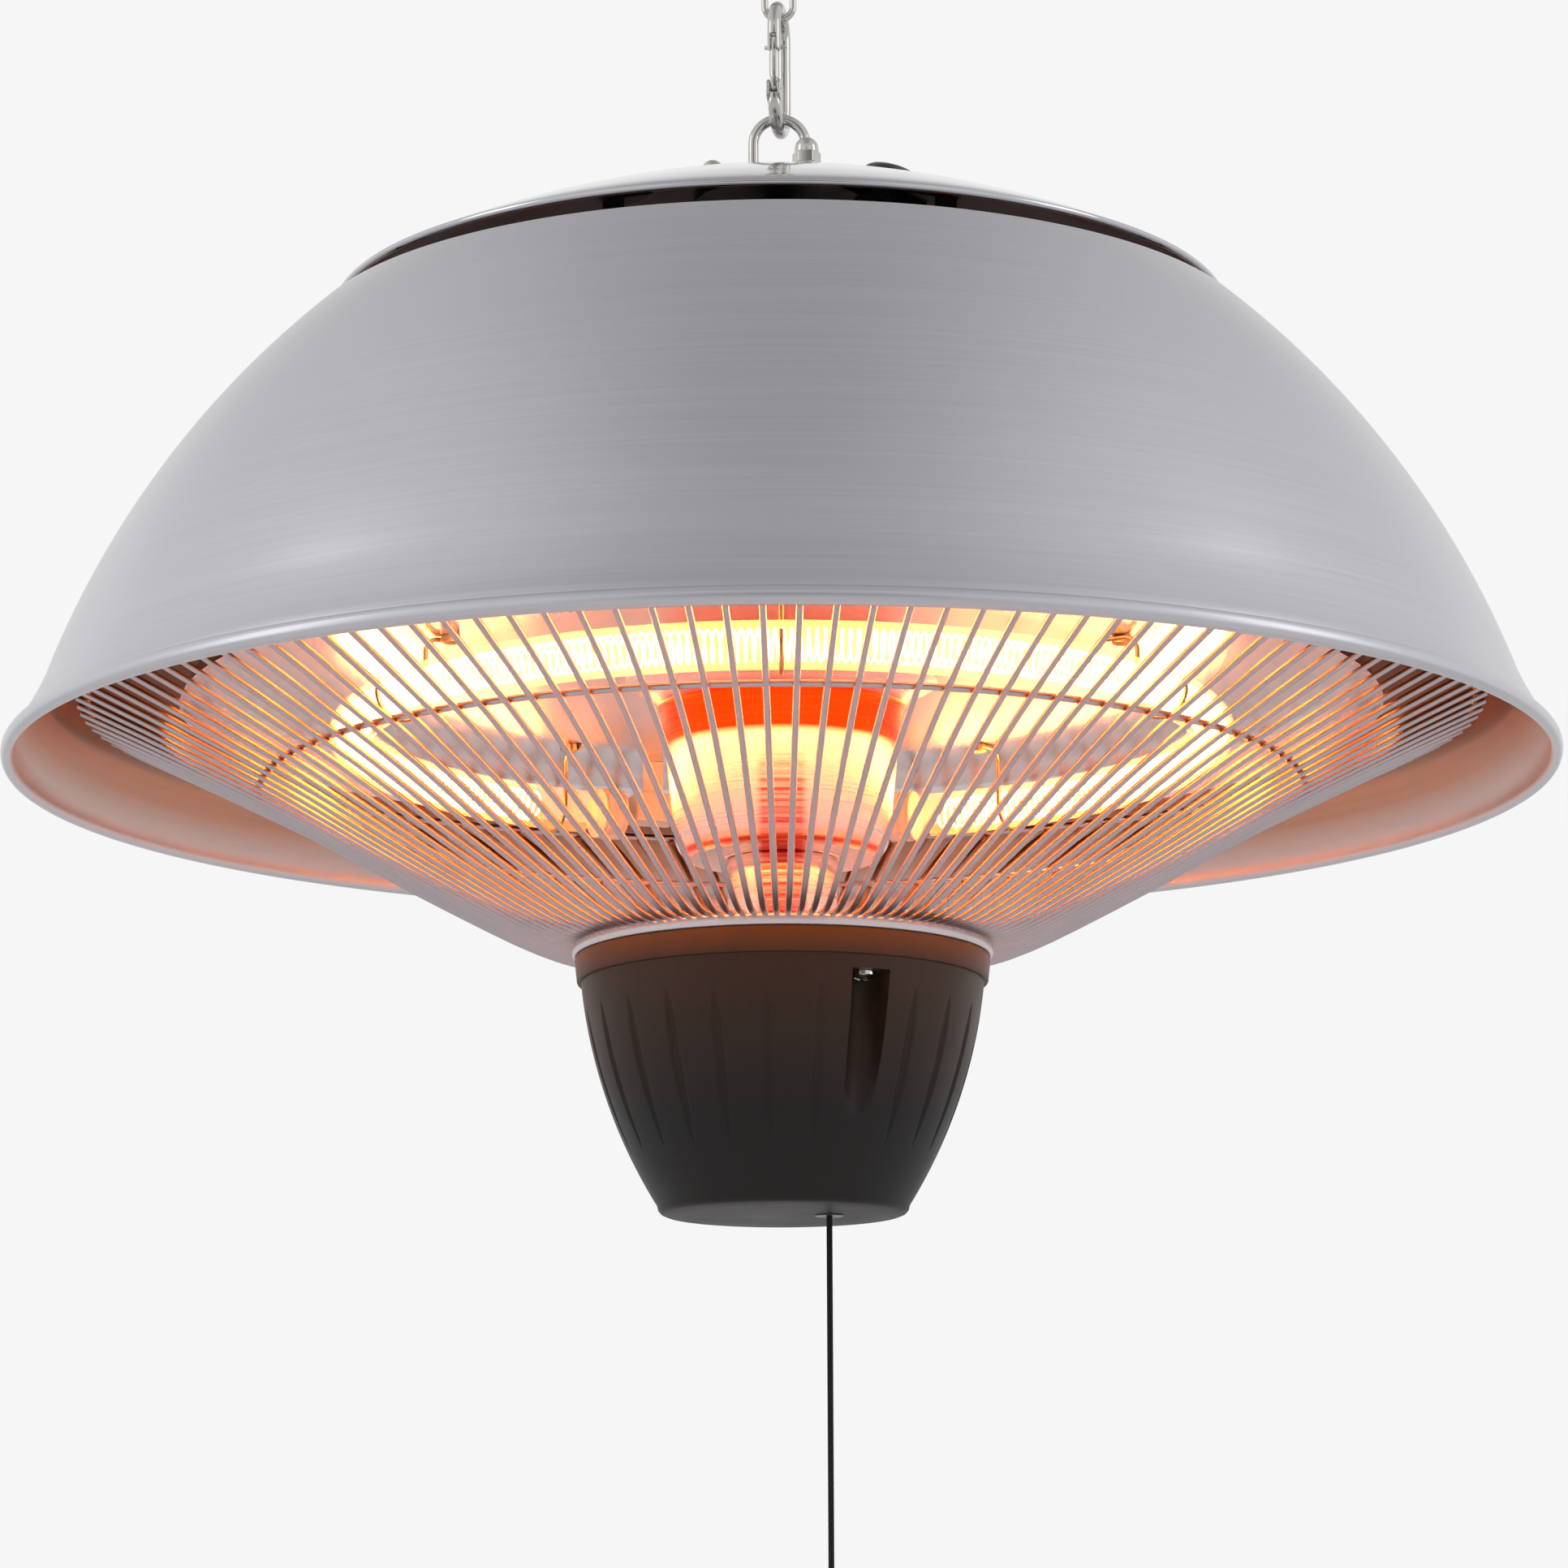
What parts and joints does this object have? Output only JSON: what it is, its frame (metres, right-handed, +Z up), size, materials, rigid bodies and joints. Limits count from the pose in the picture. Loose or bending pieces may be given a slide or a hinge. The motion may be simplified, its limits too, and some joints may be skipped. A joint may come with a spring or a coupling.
{
  "type": "hanging infrared heater",
  "caption": "Hanging infrared heater: spun shade over a ring lamp and polished reflector, conical wire guard, moulded housing with pull cord, hung from a bail, snap hook and links.",
  "frame": {"origin": "hang point: the inner top of the uppermost chain link, where it rests on its ceiling hook", "axes": "+Z up along the heater's axis; -Y towards the side that the picture shows; +X to that view's right"},
  "size_m": [0.425, 0.425, 0.5033],
  "materials": {
    "zinc_wire": "bright zinc plate",
    "nickel_wire": "nickel plated wire",
    "steel_pin": "plain steel",
    "bright_plate": "nickel plated sheet",
    "polished_cap": "spun and polished",
    "galvanised_sheet": "galvanised sheet",
    "chromed_nuts": "chromed",
    "aluminium_rivet": "plain",
    "brushed_shade": "spun and satin brushed",
    "mirror_reflector": "polished mirror",
    "quartz_glass": "clear quartz",
    "glowing_filament": "glowing white hot",
    "lamp_ceramic": "unglazed white",
    "spring_clip": "bright spring steel",
    "guard_wire": "nickel plated wire",
    "guard_plate_grey": "light grey",
    "black_moulding": "fine matt texture",
    "white_nylon": "plain",
    "black_rubber": "soft",
    "black_cord": "braided"
  },
  "bodies": {
    "hang_link": {"chain_link_upper": "zinc_wire"},
    "lower_link": {"chain_link_lower": "zinc_wire"},
    "snap_hook": {"snap_hook_body": "nickel_wire", "snap_hook_hinge_pin": "steel_pin"},
    "hook_gate": {"snap_hook_gate": "nickel_wire"},
    "heater": {"hanging_bail": "nickel_wire", "crown_plate": "bright_plate", "top_cap": "polished_cap", "clamp_disc": "galvanised_sheet", "acorn_nuts": "chromed_nuts", "cap_posts": "galvanised_sheet", "spider_plate": "galvanised_sheet", "shade_rivets": "aluminium_rivet", "shade": "brushed_shade", "reflector_pan": "mirror_reflector", "reflector_column": "mirror_reflector", "neck_tube": "mirror_reflector", "centre_tube": "zinc_wire", "centre_tube_nuts": "zinc_wire", "lamp_tube": "quartz_glass", "lamp_filament": "glowing_filament", "lamp_end_caps": "lamp_ceramic", "lamp_connector": "lamp_ceramic", "lamp_clips": "spring_clip", "guard_wires": "guard_wire", "guard_outer_hoop": "guard_wire", "guard_mid_hoop": "guard_wire", "guard_plate": "guard_plate_grey", "housing_band": "black_moulding", "lower_housing": "black_moulding", "housing_screws": "chromed_nuts", "pull_switch_body": "black_moulding", "cord_grommet": "black_rubber", "cable_gland": "black_moulding", "gland_nut": "black_moulding", "terminal_block": "black_moulding"},
    "pull_cord_set": {"pull_switch_plunger": "white_nylon", "pull_cord": "black_cord", "pull_knob": "black_moulding"}
  },
  "joints": [
    {"name": "lower_link_swing", "type": "hinge", "parent": "hang_link", "child": "lower_link", "pos_m": [0, 0, -0.019], "axis": [0, 1, 0], "range_deg": [-20, 20]},
    {"name": "hook_swing", "type": "hinge", "parent": "lower_link", "child": "snap_hook", "pos_m": [0, 0, -0.03685], "axis": [1, 0, 0], "range_deg": [-20, 20]},
    {"name": "gate_open", "type": "hinge", "parent": "snap_hook", "child": "hook_gate", "pos_m": [-0.00141, -0.00798, -0.0597], "axis": [-0.9848, 0.1736, 0], "range_deg": [0, 25], "stiffness_Nm_per_rad": 0.02, "springref_deg": -17.19},
    {"name": "heater_swing", "type": "hinge", "parent": "snap_hook", "child": "heater", "pos_m": [0, 0, -0.07], "axis": [0.1736, 0.9848, 0], "range_deg": [-12, 12]},
    {"name": "pull_switch", "type": "slide", "parent": "heater", "child": "pull_cord_set", "axis": [0, 0, -1], "range_m": [0, 0.007], "stiffness_N_per_m": 900, "springref_m": -0.004}
  ]
}
